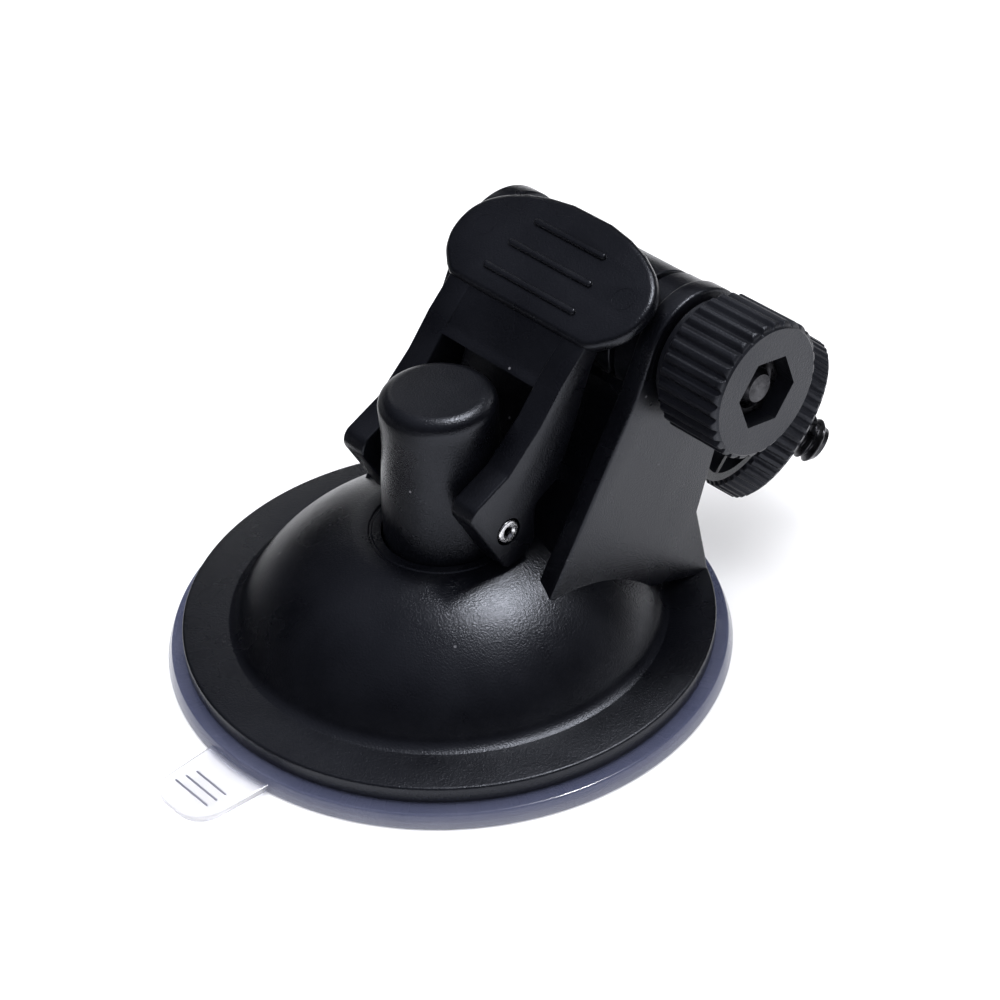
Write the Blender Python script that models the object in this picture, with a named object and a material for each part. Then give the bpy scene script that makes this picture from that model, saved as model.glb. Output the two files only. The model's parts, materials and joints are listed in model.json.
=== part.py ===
"""Suction-cup windscreen mount for a dash camera.

The frame is metres with +Z up.  The origin is the middle of the cup's sticking face.
+X is the tilt hinge's axis, towards the knob.  +Y points from the plunger to the upright.
All sizes below are millimetres, and MM turns them into metres.
"""
import math

import bmesh
import bpy
from mathutils import Matrix, Vector

MM = 0.001
GAP = 0.3                       # clearance between pieces that touch

# Suction cup
CUP_RADIUS = 37.2
CUP_MEMBRANE = 1.6
CUP_RIM_TOP = 2.1
TAB_CENTRE_X = 1.8
TAB_WIDTH = 11.0
TAB_END_Y = -47.0
TAB_TOP = 1.3

# Base: flange, dome and seat
FLANGE_TOP = 4.8
FLANGE_RADIUS = 35.0
FLANGE_BOTTOM = 2.4
DOME_ARC_R = 6.6                # centre of the dome's arc: distance from the axis
DOME_ARC_Z = FLANGE_TOP - 10.1
DOME_ARC_RADIUS = 23.6
DOME_WALL = 2.4
SEAT_TOP = FLANGE_TOP + 13.0
SEAT_RADIUS = 12.0
BORE_RADIUS = 8.25
SLEEVE_RADIUS = 10.0
SLEEVE_BOTTOM = FLANGE_TOP + 4.0

# Upright and tilt hinge
PLATE_OUT = 18.2
PLATE_IN = 15.2
EAR_IN = 12.0
BARREL_Y = 27.1
BARREL_Z = FLANGE_TOP + 35.4
EAR_RADIUS = 8.8
WEB_REACH = 8.65  # barrel axis to the front web, clear of the knuckle
KNUCKLE_RADIUS = 8.3
WASHER_OUT = EAR_IN - 0.25
WASHER_IN = WASHER_OUT - 0.5
KNUCKLE_HALF = WASHER_IN - 0.25
BOLT_RADIUS = 2.5               # M5
BOLT_HOLE = 2.8
HEX_TURN = 50.0                 # first corner, in degrees
HEX_ACROSS = 8.0                # M5 nut and bolt head, across flats
POCKET_ACROSS = 8.6

# Knob on the hinge bolt
KNOB_BACK = 18.6
KNOB_STEP = 20.0
KNOB_FACE = 30.0
KNOB_RADIUS = 9.2
KNOB_FLUTES = 30
NUT_BACK = 23.7
NUT_FACE = 27.7
BOLT_END = 28.8

# Plunger, lever and pin
PLUNGER_RADIUS = 7.9
PLUNGER_TOP = FLANGE_TOP + 34.2
PLUNGER_BOTTOM = 6.8
PIN_Z = FLANGE_TOP + 19.0
PIN_RADIUS = 1.6
CAM_RADIUS = 5.5
ARM_IN = 8.4
ARM_OUT = 12.4
PADDLE_ANGLE = math.radians(29.0)
PADDLE_FOOT = (15.7, FLANGE_TOP + 42.1)
PADDLE_THICK = 2.1
RIB_HEIGHT = 0.45

# Cup anchor, its screw and the return spring
ANCHOR_RADIUS = 13.0
ANCHOR_BOTTOM = 3.5
ANCHOR_TOP = 6.5
SPRING_RADIUS = 11.5
SPRING_WIRE = 0.5
SPRING_TURNS = 4

# Ball head and camera screw
TILT = math.radians(-44.2)      # the socket's direction below the horizontal
PAN = math.radians(35.6)        # the ball stud's swing towards the knob
BALL = (0.0, 37.5, FLANGE_TOP + 22.8)
BALL_RADIUS = 6.0
SOCKET_IN = 6.25
SOCKET_OUT = 8.4
SOCKET_OPENING = 72.0           # degrees from the socket's direction to its lip
NECK_RADIUS = 3.4
NECK_END = 15.7
WHEEL_BACK = 16.2
WHEEL_FACE = 20.6
WHEEL_RADIUS = 12.1
WHEEL_TEETH = 48
SCREW_RADIUS = 3.1              # 1/4 inch thread
SCREW_END = 27.6

CUP_CLEAR = ((0.78, 0.77, 0.84), 0.12, 0.0)
ABS_BLACK = ((0.012, 0.013, 0.016), 0.42, 0.0)
NYLON_BLACK = ((0.016, 0.017, 0.02), 0.55, 0.0)
STEEL = ((0.62, 0.62, 0.64), 0.28, 1.0)
BLACK_STEEL = ((0.03, 0.03, 0.035), 0.35, 1.0)
PTFE_WHITE = ((0.75, 0.75, 0.73), 0.5, 0.0)


def clear_scene():
    for item in list(bpy.data.objects):
        bpy.data.objects.remove(item, do_unlink=True)


def material(name, finish):
    colour, roughness, metallic = finish
    mat = bpy.data.materials.new(name)
    mat.use_nodes = True
    shader = mat.node_tree.nodes["Principled BSDF"]
    shader.inputs["Base Color"].default_value = (*colour, 1.0)
    shader.inputs["Roughness"].default_value = roughness
    shader.inputs["Metallic"].default_value = metallic
    return mat


def new_object(name, bm, finish, place=None, smooth=30.0):
    """Make an object from a bmesh in millimetres, placed by a matrix in metres."""
    bmesh.ops.scale(bm, vec=(MM, MM, MM), verts=bm.verts)
    bmesh.ops.recalc_face_normals(bm, faces=bm.faces)
    mesh = bpy.data.meshes.new(name)
    bm.to_mesh(mesh)
    bm.free()
    mesh.shade_smooth()
    mesh.set_sharp_from_angle(angle=math.radians(smooth))
    item = bpy.data.objects.new(name, mesh)
    bpy.context.collection.objects.link(item)
    if finish:
        item.data.materials.append(material(name, finish))
    if place:
        item.matrix_world = place
    return item


def metres(x, y, z):
    return Vector((x, y, z)) * MM


def along(direction, origin, up=(0.0, 0.0, 1.0)):
    """A matrix whose local Z is the direction, and whose origin is in millimetres."""
    z_axis = Vector(direction).normalized()
    x_axis = Vector(up).cross(z_axis).normalized()
    y_axis = z_axis.cross(x_axis)
    turn = Matrix((x_axis, y_axis, z_axis)).transposed().to_4x4()
    return Matrix.Translation(metres(*origin)) @ turn


def turned_mesh(profile, segments, radius_at=None):
    """Spin a profile of (radius, height) about Z.  Ends at radius 0 close on the axis."""
    bm = bmesh.new()
    rings = []
    for radius, height in profile:
        if radius < 1e-6:
            rings.append([bm.verts.new((0.0, 0.0, height))])
            continue
        ring = []
        for step in range(segments):
            angle = 2.0 * math.pi * step / segments
            reach = radius_at(radius, step) if radius_at else radius
            ring.append(bm.verts.new((reach * math.cos(angle), reach * math.sin(angle), height)))
        rings.append(ring)
    pairs = list(zip(rings, rings[1:]))
    if len(rings[0]) > 1 or len(rings[-1]) > 1:
        pairs.append((rings[-1], rings[0]))
    for low, high in pairs:
        for step in range(segments):
            after = (step + 1) % segments
            corners = [low[step % len(low)], low[after % len(low)],
                       high[after % len(high)], high[step % len(high)]]
            bm.faces.new(list(dict.fromkeys(corners)))
    return bm


def turned(name, profile, finish, place=None, segments=48, radius_at=None):
    return new_object(name, turned_mesh(profile, segments, radius_at), finish, place)


def prism(name, outline, low, high, finish=None, plane="yz", place=None):
    """Extrude a closed outline: (y, z) points along X, or (x, y) points along Z."""
    bm = bmesh.new()
    sides = []
    for level in (low, high):
        if plane == "yz":
            sides.append([bm.verts.new((level, a, b)) for a, b in outline])
        else:
            sides.append([bm.verts.new((a, b, level)) for a, b in outline])
    bm.faces.new(sides[0])
    bm.faces.new(sides[1])
    count = len(outline)
    for index in range(count):
        after = (index + 1) % count
        bm.faces.new((sides[0][index], sides[0][after], sides[1][after], sides[1][index]))
    return new_object(name, bm, finish, place)


def arc(centre, radius, start, end, steps):
    """Points on an arc, angles in degrees."""
    points = []
    for step in range(steps + 1):
        angle = math.radians(start + (end - start) * step / steps)
        points.append((centre[0] + radius * math.cos(angle), centre[1] + radius * math.sin(angle)))
    return points


def combine(target, tool, operation):
    """Join or cut with a Boolean; the tool stays hidden as a guide."""
    tool.hide_render = True
    tool.display_type = "WIRE"
    modifier = target.modifiers.new(tool.name, "BOOLEAN")
    modifier.operation = operation
    modifier.solver = "EXACT"
    modifier.object = tool


def join(target, *tools):
    for tool in tools:
        combine(target, tool, "UNION")


def cut(target, *tools):
    for tool in tools:
        combine(target, tool, "DIFFERENCE")


def round_edges(item, width, segments=2, angle=40.0):
    bevel = item.modifiers.new("rounded edges", "BEVEL")
    bevel.width = width * MM
    bevel.segments = segments
    bevel.limit_method = "ANGLE"
    bevel.angle_limit = math.radians(angle)


def rod_profile(radius, low, high):
    return [(0.0, low), (radius, low), (radius, high), (0.0, high)]


def x_rod(name, radius, low, high, y, z, finish=None, segments=32):
    """A cylinder along X."""
    place = along((1.0, 0.0, 0.0), (0.0, y, z))
    return turned(name, rod_profile(radius, low, high), finish, place, segments)


def hexagon(across):
    return arc((0.0, 0.0), across / math.sqrt(3.0), HEX_TURN, HEX_TURN + 300.0, 5)


def swing(direction_pan):
    """The ball stud's direction for a swing about the socket's own normal."""
    flat = math.cos(direction_pan)
    return (math.sin(direction_pan), flat * math.cos(TILT), flat * math.sin(TILT))


def suction_cup():
    profile = [
        (0.0, 0.0), (36.8, 0.0), (CUP_RADIUS, 0.4), (CUP_RADIUS - 0.1, 0.9), (36.1, 1.2),
        (36.3, 1.6), (36.0, CUP_RIM_TOP), (29.0, CUP_RIM_TOP), (28.6, CUP_MEMBRANE),
        (0.0, CUP_MEMBRANE),
    ]
    cup = turned("suction_cup", profile, CUP_CLEAR, segments=64)
    half = TAB_WIDTH / 2.0
    left = TAB_CENTRE_X - half
    right = TAB_CENTRE_X + half
    corner = 3.6
    outline = [(left, -35.5)]
    outline += arc((left + 0.5 + corner, TAB_END_Y + corner), corner, 180.0, 270.0, 5)
    outline += arc((right - 0.5 - corner, TAB_END_Y + corner), corner, 270.0, 360.0, 5)
    outline += [(right, -35.5)]
    join(cup, prism("tab_guide", outline, 0.35, TAB_TOP, plane="xy"))
    return cup


def dome_outline(inset, start_r, end_r, steps):
    """Points of the dome's arc from the rim inwards, moved inwards by an inset."""
    radius = DOME_ARC_RADIUS - inset
    first = math.acos((start_r - DOME_ARC_R) / radius)
    last = math.acos((end_r - DOME_ARC_R) / radius)
    return arc((DOME_ARC_R, DOME_ARC_Z), radius, math.degrees(first), math.degrees(last), steps)


def upright_outline():
    """The side plate's outline, from its foot in front, over the barrel, to the flange."""
    top = FLANGE_TOP
    outline = [(2.6, top + 8.0), (1.5, top + 10.6), (16.4, top + 33.5)]
    outline += arc((BARREL_Y, BARREL_Z), EAR_RADIUS, 161.0, -18.0, 12)
    outline += [(30.9, top + 18.7), (27.8, top + 10.4), (29.6, top + 2.0), (30.1, top - 1.0)]
    return outline


def side_frame(side):
    """One side plate of the upright with its ear, bored for the hinge bolt."""
    label = "near" if side > 0 else "far"
    plate = prism(f"plate_{label}_guide", upright_outline(),
                  *sorted((side * PLATE_IN, side * PLATE_OUT)))
    low, high = sorted((side * EAR_IN, side * (PLATE_IN + 0.5)))
    join(plate, x_rod(f"ear_{label}_guide", EAR_RADIUS - 0.4, low, high, BARREL_Y, BARREL_Z))
    cut(plate, x_rod(f"bolt_hole_{label}_guide", BOLT_HOLE, low - 8.0, high + 8.0,
                     BARREL_Y, BARREL_Z, segments=24))
    if side < 0:
        place = along((1.0, 0.0, 0.0), (0.0, BARREL_Y, BARREL_Z))
        cut(plate, prism("head_pocket_guide", hexagon(POCKET_ACROSS), -PLATE_OUT - 1.0, -14.4,
                         plane="xy", place=place))
    return plate


def base_housing():
    top = FLANGE_TOP
    outer = [(0.0, FLANGE_BOTTOM), (FLANGE_RADIUS, FLANGE_BOTTOM), (FLANGE_RADIUS, top - 0.4),
             (FLANGE_RADIUS - 0.4, top), (28.9, top), (28.1, top + 0.25)]
    outer += dome_outline(0.0, 27.45, 12.3, 9)
    outer += [(SEAT_RADIUS, SEAT_TOP), (0.0, SEAT_TOP)]
    base = turned("base_housing", outer, ABS_BLACK, segments=64)

    for side in (-1.0, 1.0):
        join(base, side_frame(side))
    lip = arc((BARREL_Y, BARREL_Z), WEB_REACH, 196.0, 222.0, 5)
    web = [(4.6, top + 9.0), (17.7, top + 29.6), (17.9, top + 32.4), *lip, (8.0, top + 9.6)]
    join(base, prism("web_guide", web, -PLATE_IN - 0.4, PLATE_IN + 0.4))

    hollow = [(0.0, FLANGE_BOTTOM - 1.0), (26.2, FLANGE_BOTTOM - 1.0), (26.2, FLANGE_BOTTOM)]
    hollow += dome_outline(DOME_WALL, 26.1, SLEEVE_RADIUS + 0.4, 5)
    hollow += [(SLEEVE_RADIUS, top + 10.3), (SLEEVE_RADIUS, SLEEVE_BOTTOM), (0.0, SLEEVE_BOTTOM)]
    cut(base, turned("hollow_guide", hollow, None, segments=48))

    bore = rod_profile(BORE_RADIUS, SLEEVE_BOTTOM - 1.0, SEAT_TOP + 6.0)
    cut(base, turned("bore_guide", bore, None, segments=48))
    return base


def plunger():
    top = PLUNGER_TOP
    profile = [(0.0, PLUNGER_BOTTOM), (PLUNGER_RADIUS, PLUNGER_BOTTOM), (PLUNGER_RADIUS, SEAT_TOP + 1.5),
               (7.6, top - 12.0), (7.35, top - 7.0), (7.45, top - 4.4), (7.7, top - 3.2)]
    profile += arc((5.7, top - 2.0), 2.0, 0.0, 90.0, 5)
    profile += [(0.0, top)]
    body = turned("plunger", profile, ABS_BLACK, segments=36)
    cut(body, x_rod("pin_hole_guide", PIN_RADIUS + 0.3, -9.0, 9.0, 0.0, PIN_Z, segments=20))
    thread_hole = rod_profile(2.3, PLUNGER_BOTTOM - 1.0, 15.0)
    cut(body, turned("screw_hole_guide", thread_hole, None, segments=20))
    return body


def cup_anchor():
    profile = [(2.3, 5.2), (3.9, ANCHOR_BOTTOM), (ANCHOR_RADIUS - 0.5, ANCHOR_BOTTOM),
               (ANCHOR_RADIUS, ANCHOR_BOTTOM + 0.5), (ANCHOR_RADIUS, ANCHOR_TOP - 0.5),
               (ANCHOR_RADIUS - 0.5, ANCHOR_TOP), (2.3, ANCHOR_TOP)]
    return turned("cup_anchor", profile, NYLON_BLACK, segments=32)


def anchor_screw():
    """The countersunk screw that holds the anchor to the plunger."""
    profile = [(0.0, ANCHOR_BOTTOM + 0.1), (3.4, ANCHOR_BOTTOM + 0.1), (2.0, 5.0), (2.0, 14.0),
               (1.4, 14.6), (0.0, 14.6)]
    return turned("anchor_screw", profile, STEEL, segments=20)


def return_spring():
    """The coil between the anchor and the dome's underside."""
    low = ANCHOR_TOP + GAP + SPRING_WIRE
    high = FLANGE_TOP + 9.6
    steps_per_turn = 12
    total = SPRING_TURNS * steps_per_turn
    curve = bpy.data.curves.new("return_spring", "CURVE")
    curve.dimensions = "3D"
    curve.bevel_depth = SPRING_WIRE * MM
    curve.bevel_resolution = 1
    curve.use_fill_caps = True
    spline = curve.splines.new("POLY")
    spline.points.add(total)
    for step in range(total + 1):
        angle = 2.0 * math.pi * step / steps_per_turn
        share = min(max((step / total - 0.12) / 0.76, 0.0), 1.0)
        height = low + (high - low) * share + 0.25 * math.sin(math.pi * step / total)
        point = metres(SPRING_RADIUS * math.cos(angle), SPRING_RADIUS * math.sin(angle), height)
        spline.points[step].co = (*point, 1.0)
    item = bpy.data.objects.new("return_spring", curve)
    bpy.context.collection.objects.link(item)
    curve.materials.append(material("return_spring", STEEL))
    return item


def paddle_point(run, depth):
    """A (y, z) point: run along the paddle from its foot, depth below its outer face."""
    y = PADDLE_FOOT[0] + run * math.cos(PADDLE_ANGLE) + depth * math.sin(PADDLE_ANGLE)
    z = PADDLE_FOOT[1] + run * math.sin(PADDLE_ANGLE) - depth * math.cos(PADDLE_ANGLE)
    return (y, z)


def arm_outline():
    """A lever arm: cam round the pin, flat release face, nose, and the bar up to the paddle."""
    outline = arc((0.0, PIN_Z), CAM_RADIUS, 322.0, 262.0, 8)
    outline += [(-5.2, PIN_Z + 2.7), (-5.3, PIN_Z + 5.2), (-4.4, PIN_Z + 6.2), (0.3, PIN_Z + 8.3),
                (5.7, PIN_Z + 13.0), (9.4, PIN_Z + 17.3), paddle_point(-2.4, 0.5),
                paddle_point(3.0, 0.6), paddle_point(3.0, PADDLE_THICK - 0.1),
                (16.2, PIN_Z + 20.3), (14.3, PIN_Z + 17.0), (11.6, PIN_Z + 10.5),
                (9.6, PIN_Z + 5.9), (8.2, PIN_Z + 3.6), (4.6, PIN_Z + 1.8)]
    return outline


def paddle_outline():
    """Half-width against run: a wide oval that narrows to the arms at its foot."""
    stations = [(-3.3, 12.2), (-2.4, 13.6), (-0.6, 15.6), (1.5, 16.7), (3.6, 17.0), (5.8, 16.7),
                (7.8, 15.6), (9.6, 13.6), (11.1, 10.6), (12.1, 7.2), (12.7, 3.4)]
    right = [(half, run) for run, half in stations]
    left = [(-half, run) for run, half in reversed(stations)]
    return right + left


def lever():
    place = (Matrix.Translation(metres(0.0, *PADDLE_FOOT))
             @ Matrix.Rotation(PADDLE_ANGLE, 4, "X"))
    body = prism("lever", paddle_outline(), -PADDLE_THICK, 0.0, ABS_BLACK, "xy", place)
    round_edges(body, 0.6)
    for side in (-1.0, 1.0):
        faces = sorted((side * ARM_IN, side * ARM_OUT))
        arm = prism("arm_guide", arm_outline(), *faces)
        round_edges(arm, 0.7)
        lug = [(7.0, PIN_Z + 4.4), (9.9, PIN_Z + 2.4), (11.1, PIN_Z + 4.1), (8.6, PIN_Z + 6.6)]
        inner = sorted((side * (ARM_OUT - 0.4), side * (ARM_IN + 0.6)))
        join(body, arm, prism("lug_guide", lug, *inner))
    web = [paddle_point(-2.0, 0.4), (9.3, PIN_Z + 16.8), (8.2, PIN_Z + 15.9), (9.9, PIN_Z + 14.6),
           (12.0, PIN_Z + 16.4), paddle_point(1.0, 1.6), paddle_point(1.0, 0.6)]
    join(body, prism("lever_web_guide", web, -ARM_IN - 0.5, ARM_IN + 0.5))
    for run, half in ((0.0, 8.3), (4.15, 7.5), (8.15, 6.4)):
        rib = [(-half, run - 0.4), (half, run - 0.4), (half, run + 0.4), (-half, run + 0.4)]
        join(body, prism("rib_guide", rib, -0.5, RIB_HEIGHT, None, "xy", place))
    cut(body, x_rod("ear_hole_guide", PIN_RADIUS + 0.3, -14.0, 14.0, 0.0, PIN_Z, segments=20))
    return body


def lever_pin():
    """A hollow steel pin through the lever's ears and the plunger."""
    end = ARM_OUT + 0.1
    profile = [(0.7, -end), (PIN_RADIUS - 0.2, -end), (PIN_RADIUS, 0.3 - end),
               (PIN_RADIUS, end - 0.3), (PIN_RADIUS - 0.2, end), (0.7, end)]
    place = along((1.0, 0.0, 0.0), (0.0, 0.0, PIN_Z))
    return turned("lever_pin", profile, STEEL, place, segments=16)


def hinge_bolt():
    place = along((1.0, 0.0, 0.0), (0.0, BARREL_Y, BARREL_Z))
    bolt = prism("hinge_bolt", hexagon(HEX_ACROSS), -18.0, -14.7, BLACK_STEEL, "xy", place)
    tip = [(0.0, -15.5), (BOLT_RADIUS, -15.5), (BOLT_RADIUS, BOLT_END - 0.6),
           (BOLT_RADIUS - 0.6, BOLT_END), (0.0, BOLT_END)]
    join(bolt, turned("shank_guide", tip, None, place, segments=24))
    return bolt


def hinge_nut():
    place = along((1.0, 0.0, 0.0), (0.0, BARREL_Y, BARREL_Z))
    nut = prism("hinge_nut", hexagon(HEX_ACROSS), NUT_BACK, NUT_FACE, BLACK_STEEL, "xy", place)
    cut(nut, turned("nut_hole_guide", rod_profile(BOLT_HOLE, NUT_BACK - 1.0, NUT_FACE + 1.0),
                    None, place, segments=24))
    return nut


def friction_washer(side):
    name = "friction_washer_near" if side > 0 else "friction_washer_far"
    low, high = sorted((side * WASHER_IN, side * WASHER_OUT))
    profile = [(BOLT_HOLE, low), (7.4, low), (7.4, high), (BOLT_HOLE, high)]
    place = along((1.0, 0.0, 0.0), (0.0, BARREL_Y, BARREL_Z))
    return turned(name, profile, PTFE_WHITE, place, segments=32)


def clamp_knob():
    """The fluted knob: every other ring point is the bottom of a flute."""
    def fluted(radius, step):
        if radius < KNOB_RADIUS - 1.5:
            return radius
        return radius - 0.7 * (step % 2)

    profile = [(BOLT_HOLE, KNOB_BACK), (7.6, KNOB_BACK), (7.6, KNOB_STEP),
               (KNOB_RADIUS - 0.2, KNOB_STEP), (KNOB_RADIUS, KNOB_STEP + 0.3),
               (KNOB_RADIUS, KNOB_FACE - 0.4), (KNOB_RADIUS - 0.4, KNOB_FACE),
               (BOLT_HOLE, KNOB_FACE)]
    place = along((1.0, 0.0, 0.0), (0.0, BARREL_Y, BARREL_Z))
    knob = turned("clamp_knob", profile, ABS_BLACK, place, KNOB_FLUTES * 2, fluted)
    cut(knob, prism("nut_pocket_guide", hexagon(POCKET_ACROSS), NUT_BACK - 0.3, KNOB_FACE + 1.0,
                    None, "xy", place))
    return knob


def sphere_profile(radius, low_angle=-90.0, high_angle=90.0, steps=12):
    return arc((0.0, 0.0), radius, low_angle, high_angle, steps)


def tilt_head():
    """The knuckle in the barrel, its short arm and the ball socket."""
    head = x_rod("tilt_head", KNUCKLE_RADIUS, -KNUCKLE_HALF, KNUCKLE_HALF, BARREL_Y, BARREL_Z,
                 ABS_BLACK, segments=36)
    cut(head, x_rod("knuckle_hole_guide", BOLT_HOLE, -KNUCKLE_HALF - 1.0, KNUCKLE_HALF + 1.0,
                    BARREL_Y, BARREL_Z, segments=24))
    hinge = Vector((0.0, BARREL_Y, BARREL_Z))
    arm_axis = Vector(BALL) - hinge
    arm_place = along(arm_axis, hinge)
    join(head, turned("arm_rod_guide", rod_profile(5.2, 4.0, arm_axis.length - 6.5), None,
                      arm_place, segments=24))
    lip = 90.0 - SOCKET_OPENING
    bowl = sphere_profile(SOCKET_OUT, -90.0, lip) + sphere_profile(SOCKET_IN, lip, -90.0)
    socket_place = along(swing(0.0), BALL, up=(1.0, 0.0, 0.0))
    join(head, turned("socket_guide", bowl, None, socket_place, segments=32))
    return head


def stud_place():
    return along(swing(PAN), BALL)


def swivel_ball():
    """The ball and its neck, bored for the camera screw."""
    neck_angle = math.degrees(math.acos(NECK_RADIUS / BALL_RADIUS))
    back_angle = -math.degrees(math.acos(3.9 / BALL_RADIUS))
    profile = [(2.6, -3.0), (3.9, -3.0)]
    profile += sphere_profile(BALL_RADIUS, back_angle, neck_angle, 8)
    profile += [(NECK_RADIUS, NECK_END - 0.3), (NECK_RADIUS - 0.3, NECK_END), (2.6, NECK_END)]
    return turned("swivel_ball", profile, ABS_BLACK, stud_place(), segments=24)


def camera_screw():
    """The captive 1/4 inch screw, from the clip groove to the tip."""
    profile = [(0.0, -4.6), (2.2, -4.6), (2.2, WHEEL_BACK - 0.2), (2.9, WHEEL_BACK - 0.2),
               (2.9, WHEEL_FACE + 0.1), (SCREW_RADIUS, WHEEL_FACE + 0.4),
               (SCREW_RADIUS, SCREW_END - 0.6), (SCREW_RADIUS - 0.7, SCREW_END), (0.0, SCREW_END)]
    return turned("camera_screw", profile, BLACK_STEEL, stud_place(), segments=20)


def screw_clip():
    """The clip that keeps the screw in the ball."""
    profile = [(2.5, -4.2), (3.5, -4.2), (3.5, -3.3), (2.5, -3.3)]
    return turned("screw_clip", profile, STEEL, stud_place(), segments=24)


def thumb_wheel():
    """The knurled wheel on the screw: hollow towards the ball, flat towards the camera."""
    def knurled(radius, step):
        if radius < WHEEL_RADIUS - 0.9:
            return radius
        return radius - 0.45 * (step % 2)

    hub = 4.6
    rim_inside = WHEEL_RADIUS - 1.7
    floor = WHEEL_FACE - 1.3
    profile = [(3.2, WHEEL_BACK), (hub, WHEEL_BACK), (hub, floor), (rim_inside, floor),
               (rim_inside, WHEEL_BACK), (WHEEL_RADIUS, WHEEL_BACK), (WHEEL_RADIUS, WHEEL_FACE - 0.3),
               (WHEEL_RADIUS - 0.3, WHEEL_FACE), (3.2, WHEEL_FACE)]
    place = stud_place()
    wheel = turned("thumb_wheel", profile, ABS_BLACK, place, WHEEL_TEETH * 2, knurled)
    for number in range(3):
        angle = 2.0 * math.pi * number / 3.0
        bar = [(hub - 0.4, -0.5), (rim_inside + 0.4, -0.5), (rim_inside + 0.4, 0.5), (hub - 0.4, 0.5)]
        spun = place @ Matrix.Rotation(angle, 4, "Z")
        join(wheel, prism("spoke_guide", bar, WHEEL_BACK + 0.6, floor + 0.4, None, "xy", spun))
    return wheel


def main():
    clear_scene()
    suction_cup()
    base_housing()
    plunger()
    cup_anchor()
    anchor_screw()
    return_spring()
    lever()
    lever_pin()
    hinge_bolt()
    hinge_nut()
    friction_washer(-1.0)
    friction_washer(1.0)
    clamp_knob()
    tilt_head()
    swivel_ball()
    camera_screw()
    screw_clip()
    thumb_wheel()


main()
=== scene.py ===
"""Looks for a suction-cup windscreen mount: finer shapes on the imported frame, materials, light, camera.

Shapes are worked out in millimetres, +Z up, and written to the meshes in metres.
"""
import json
import math

import bmesh
import bpy
from mathutils import Matrix, Vector


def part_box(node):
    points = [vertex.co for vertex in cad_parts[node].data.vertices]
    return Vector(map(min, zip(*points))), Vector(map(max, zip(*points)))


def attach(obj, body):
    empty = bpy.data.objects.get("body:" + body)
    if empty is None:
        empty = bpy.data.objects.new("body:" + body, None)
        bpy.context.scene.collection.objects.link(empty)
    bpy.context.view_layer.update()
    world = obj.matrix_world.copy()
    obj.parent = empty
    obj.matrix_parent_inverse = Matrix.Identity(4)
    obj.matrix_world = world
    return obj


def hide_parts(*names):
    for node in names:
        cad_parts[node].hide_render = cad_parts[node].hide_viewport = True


MM = 0.001
FULL_TURN = 2.0 * math.pi

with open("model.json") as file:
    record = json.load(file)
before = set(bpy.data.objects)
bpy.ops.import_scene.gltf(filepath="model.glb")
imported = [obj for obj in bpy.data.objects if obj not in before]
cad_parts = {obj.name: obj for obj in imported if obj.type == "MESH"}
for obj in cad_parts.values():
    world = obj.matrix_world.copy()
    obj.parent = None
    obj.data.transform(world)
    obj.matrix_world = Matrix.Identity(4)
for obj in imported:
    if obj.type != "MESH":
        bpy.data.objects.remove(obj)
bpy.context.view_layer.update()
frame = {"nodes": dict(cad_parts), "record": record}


# ---------------------------------------------------------------- places read from the frame

def box_mm(node):
    """A CAD node's lowest and highest corners, in millimetres."""
    low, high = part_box(node)
    return Vector(low) / MM, Vector(high) / MM


JOINTS = {joint["name"]: joint for joint in frame["record"]["behaviour"]["joints"]}
PIN_Z = JOINTS["lever_cam"]["pos_m"][2] / MM
BARREL_Y, BARREL_Z = (value / MM for value in JOINTS["head_tilt"]["pos_m"][1:])
BALL = Vector(JOINTS["ball_swing"]["pos_m"]) / MM
SOCKET_NORMAL = Vector(JOINTS["ball_swing"]["axis"])
SCREW_AXIS = Vector(JOINTS["screw_spin"]["axis"])
CUP_LOW, CUP_HIGH = box_mm("suction_cup")
BASE_LOW = box_mm("base_housing")[0]
KNOB_LOW, KNOB_HIGH = box_mm("clamp_knob")
NUT_LOW, NUT_HIGH = box_mm("hinge_nut")
BOLT_HIGH = box_mm("hinge_bolt")[1]
HEAD_LOW, HEAD_HIGH = box_mm("tilt_head")
PLUNGER_LOW, PLUNGER_HIGH = box_mm("plunger")
PIN_HIGH = box_mm("lever_pin")[1]

FLANGE_BOTTOM = BASE_LOW.z
FLANGE_RADIUS = -BASE_LOW.y
FLANGE_THICK = 2.4
FLANGE_TOP = FLANGE_BOTTOM + FLANGE_THICK
SEAT_HEIGHT = 13.0
SEAT_TOP = FLANGE_TOP + SEAT_HEIGHT
CUP_RADIUS = CUP_HIGH.x
CUP_TOP = 2.1
DOME_RADIUS = 23.6
DOME_OFFSET = 6.6  # the dome is an arc whose centre stands this far off the axis
DOME_DROP = 10.1
DOME_WALL = 2.4
BORE_RADIUS = 8.25
PLATE_OUT = 18.2
PLATE_THICK = 3.0
PLATE_IN = PLATE_OUT - PLATE_THICK
EAR_THICK = 6.2
EAR_IN = PLATE_OUT - EAR_THICK
EAR_RADIUS = 8.8
WEB_REACH = 8.65
KNUCKLE_RADIUS = 8.3
BOLT_RADIUS = 2.5
BOLT_HOLE = 2.8
THREAD_START = 14.0
HEX_TURN = 50.0  # first corner, in degrees
HEX_ACROSS = 8.0
POCKET_ACROSS = 8.6
ARM_THICK = 4.0
ARM_OUT = PIN_HIGH.x - 0.1
ARM_IN = ARM_OUT - ARM_THICK
PIN_RADIUS = 1.6
PIN_HOLE = 1.9
PADDLE_ANGLE = math.radians(29.0)
PADDLE_FOOT = (15.7, FLANGE_TOP + 42.1)
PADDLE_THICK = 2.1
WHEEL_BACK = 16.2
WHEEL_FACE = 20.6
WHEEL_RADIUS = 12.1
WHEEL_TEETH = 48
KNOB_RADIUS = 9.2
KNOB_FLUTES = 30
BALL_RADIUS = 6.0
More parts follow.
